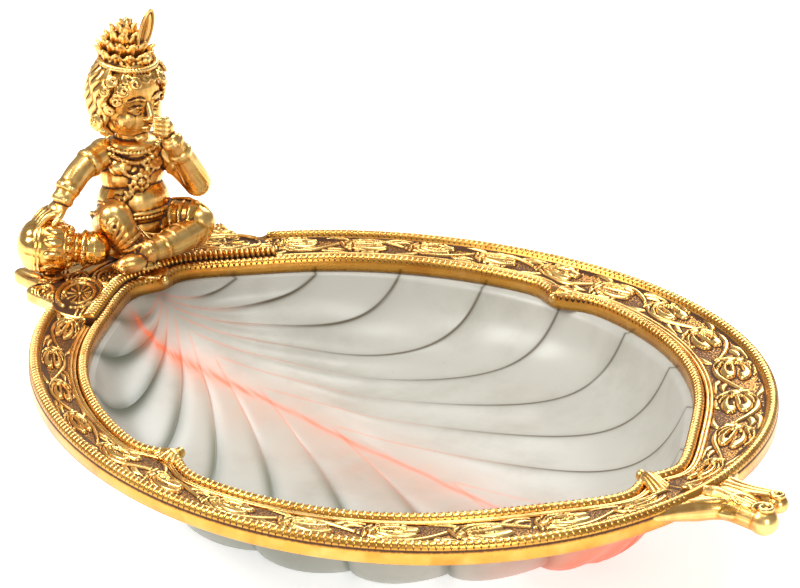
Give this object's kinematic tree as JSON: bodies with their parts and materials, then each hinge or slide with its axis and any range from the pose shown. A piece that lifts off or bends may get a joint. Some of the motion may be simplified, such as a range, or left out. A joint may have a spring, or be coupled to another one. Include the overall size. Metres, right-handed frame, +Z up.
{
  "type": "serving plate",
  "caption": "Oval serving plate: fluted leaf-shaped glass dish in a cast gold scroll rim with rope beads, with a seated child figure and butter pot at one end.",
  "frame": {"origin": "on the table, under the middle of the rim's opening, in the glass dish's ground foot", "axes": "+X along the plate towards its fish-tail tip, away from the figure; +Y across the plate; +Z up"},
  "size_m": [0.3107, 0.224, 0.131],
  "materials": {
    "antique_gold": "antique gold plate with dark patina in the recesses",
    "bright_gold": "polished gold plate",
    "smoked_glass": "pressed glass with an orange-red midrib",
    "plated_steel": "zinc plated"
  },
  "bodies": {
    "root": {"rim_casting": "antique_gold", "glass_dish": "smoked_glass", "child_figure": "antique_gold", "butter_pot": "bright_gold", "retaining_clip_1": "plated_steel", "retaining_clip_2": "plated_steel", "retaining_clip_3": "plated_steel", "retaining_clip_4": "plated_steel", "retaining_clip_5": "plated_steel", "retaining_clip_6": "plated_steel", "clip_screw_1": "plated_steel", "clip_screw_2": "plated_steel", "clip_screw_3": "plated_steel", "clip_screw_4": "plated_steel", "clip_screw_5": "plated_steel", "clip_screw_6": "plated_steel", "figure_screw_1": "plated_steel", "figure_screw_2": "plated_steel", "pot_screw": "plated_steel"}
  },
  "joints": []
}
